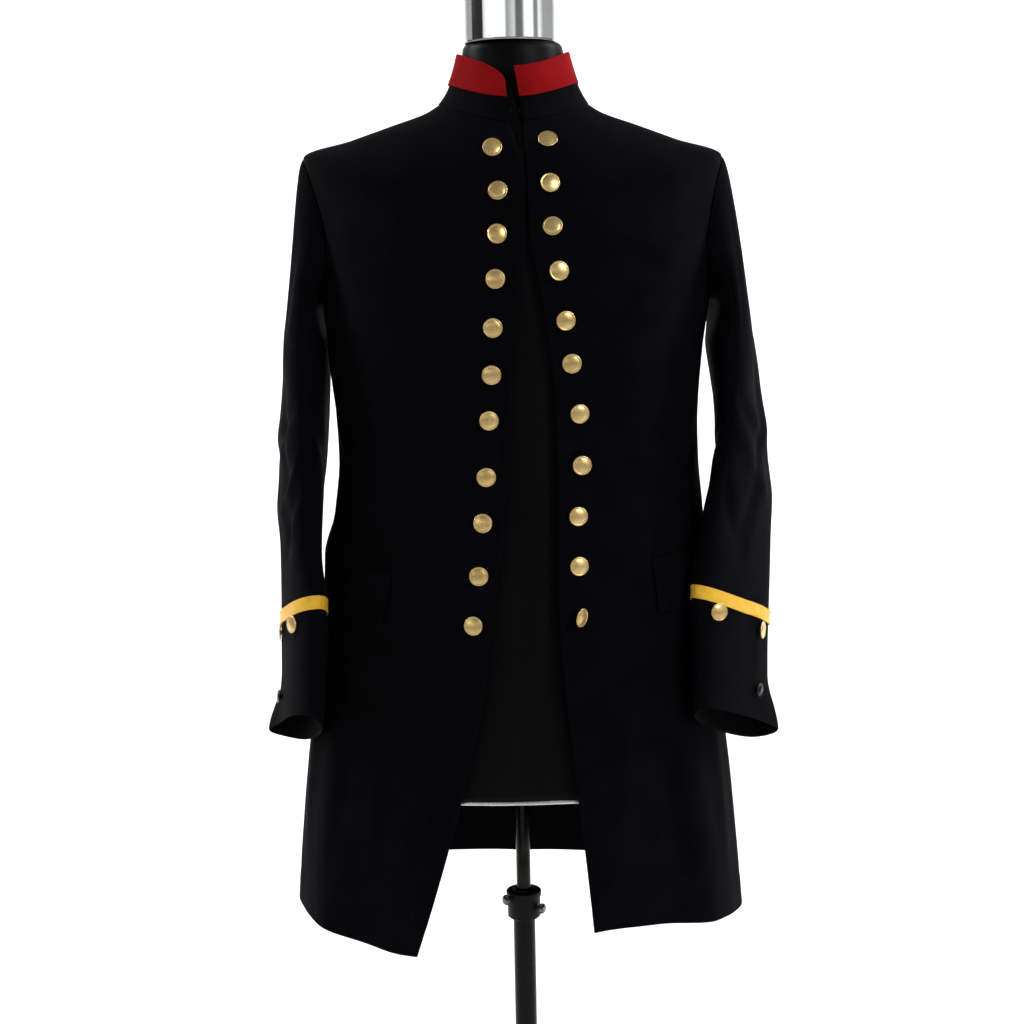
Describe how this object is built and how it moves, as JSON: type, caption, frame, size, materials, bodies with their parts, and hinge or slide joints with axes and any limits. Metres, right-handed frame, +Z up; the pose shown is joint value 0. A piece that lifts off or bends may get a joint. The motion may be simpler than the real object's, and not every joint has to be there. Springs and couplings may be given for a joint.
{
  "type": "hussar jacket on a dress form",
  "caption": "Black wool hussar frock coat with a red collar band, gilt buttons and gold cuff braid, hanging open on a dress form with an adjustable stand.",
  "frame": {"origin": "on the floor, at the pole's axis, under the middle of the round base", "axes": "+Z up, -Y the way the coat's front faces, +X the wearer's left"},
  "size_m": [0.5747, 0.38, 1.4],
  "materials": {
    "wool": "dense black wool cloth with a faint blue cast, matt with a slight nap",
    "red_cloth": "scarlet facing cloth, matt",
    "gold_braid": "golden yellow satin-woven flat braid",
    "gilt": "satin gilt brass, lightly brushed, polished rim",
    "black_button": "black horn-like button",
    "black_satin": "black stretch satin cover of the form",
    "plate_metal": "bright metal bottom plate",
    "chrome": "polished chrome",
    "black_steel": "black enamelled steel, semi-gloss",
    "black_plastic": "black moulded plastic"
  },
  "bodies": {
    "stand": {"stand_base": "black_steel", "outer_tube": "black_steel", "clamp_collar": "black_plastic"},
    "post": {"inner_post": "black_steel"},
    "form": {"form_torso": "black_satin", "form_plate": "plate_metal", "neck_cap": "chrome", "flange": "black_steel", "front_left": "wool", "back_left": "wool", "top_sleeve_left": "wool", "under_sleeve_left": "wool", "flap_left": "wool", "braid_left": "gold_braid", "front_button_left_01": "gilt", "front_button_left_02": "gilt", "front_button_left_03": "gilt", "front_button_left_04": "gilt", "front_button_left_05": "gilt", "front_button_left_06": "gilt", "front_button_left_07": "gilt", "front_button_left_08": "gilt", "front_button_left_09": "gilt", "front_button_left_10": "gilt", "front_button_left_11": "gilt", "cuff_button_left_1": "gilt", "cuff_button_left_2": "gilt", "vent_button_left": "black_button", "front_right": "wool", "back_right": "wool", "top_sleeve_right": "wool", "under_sleeve_right": "wool", "flap_right": "wool", "braid_right": "gold_braid", "front_button_right_01": "gilt", "front_button_right_02": "gilt", "front_button_right_03": "gilt", "front_button_right_04": "gilt", "front_button_right_05": "gilt", "front_button_right_06": "gilt", "front_button_right_07": "gilt", "front_button_right_08": "gilt", "front_button_right_09": "gilt", "front_button_right_10": "gilt", "front_button_right_11": "gilt", "cuff_button_right_1": "gilt", "cuff_button_right_2": "gilt", "vent_button_right": "black_button", "collar_stand": "wool", "collar_band": "red_cloth"},
    "knob_left": {"knob_left": "black_steel"},
    "knob_right": {"knob_right": "black_steel"}
  },
  "joints": [
    {"name": "height_slide", "type": "slide", "parent": "stand", "child": "post", "axis": [0, 0, 1], "range_m": [-0.08, 0.2]},
    {"name": "form_swivel", "type": "hinge", "parent": "post", "child": "form", "pos_m": [0, 0, 0.52], "axis": [0, 0, 1], "continuous": true},
    {"name": "knob_left_turn", "type": "hinge", "parent": "stand", "child": "knob_left", "pos_m": [0.01658, -0.01118, 0.389], "axis": [0.829, -0.5592, 0], "continuous": true},
    {"name": "knob_right_turn", "type": "hinge", "parent": "stand", "child": "knob_right", "pos_m": [-0.01658, -0.01118, 0.4], "axis": [-0.829, -0.5592, 0], "continuous": true}
  ]
}
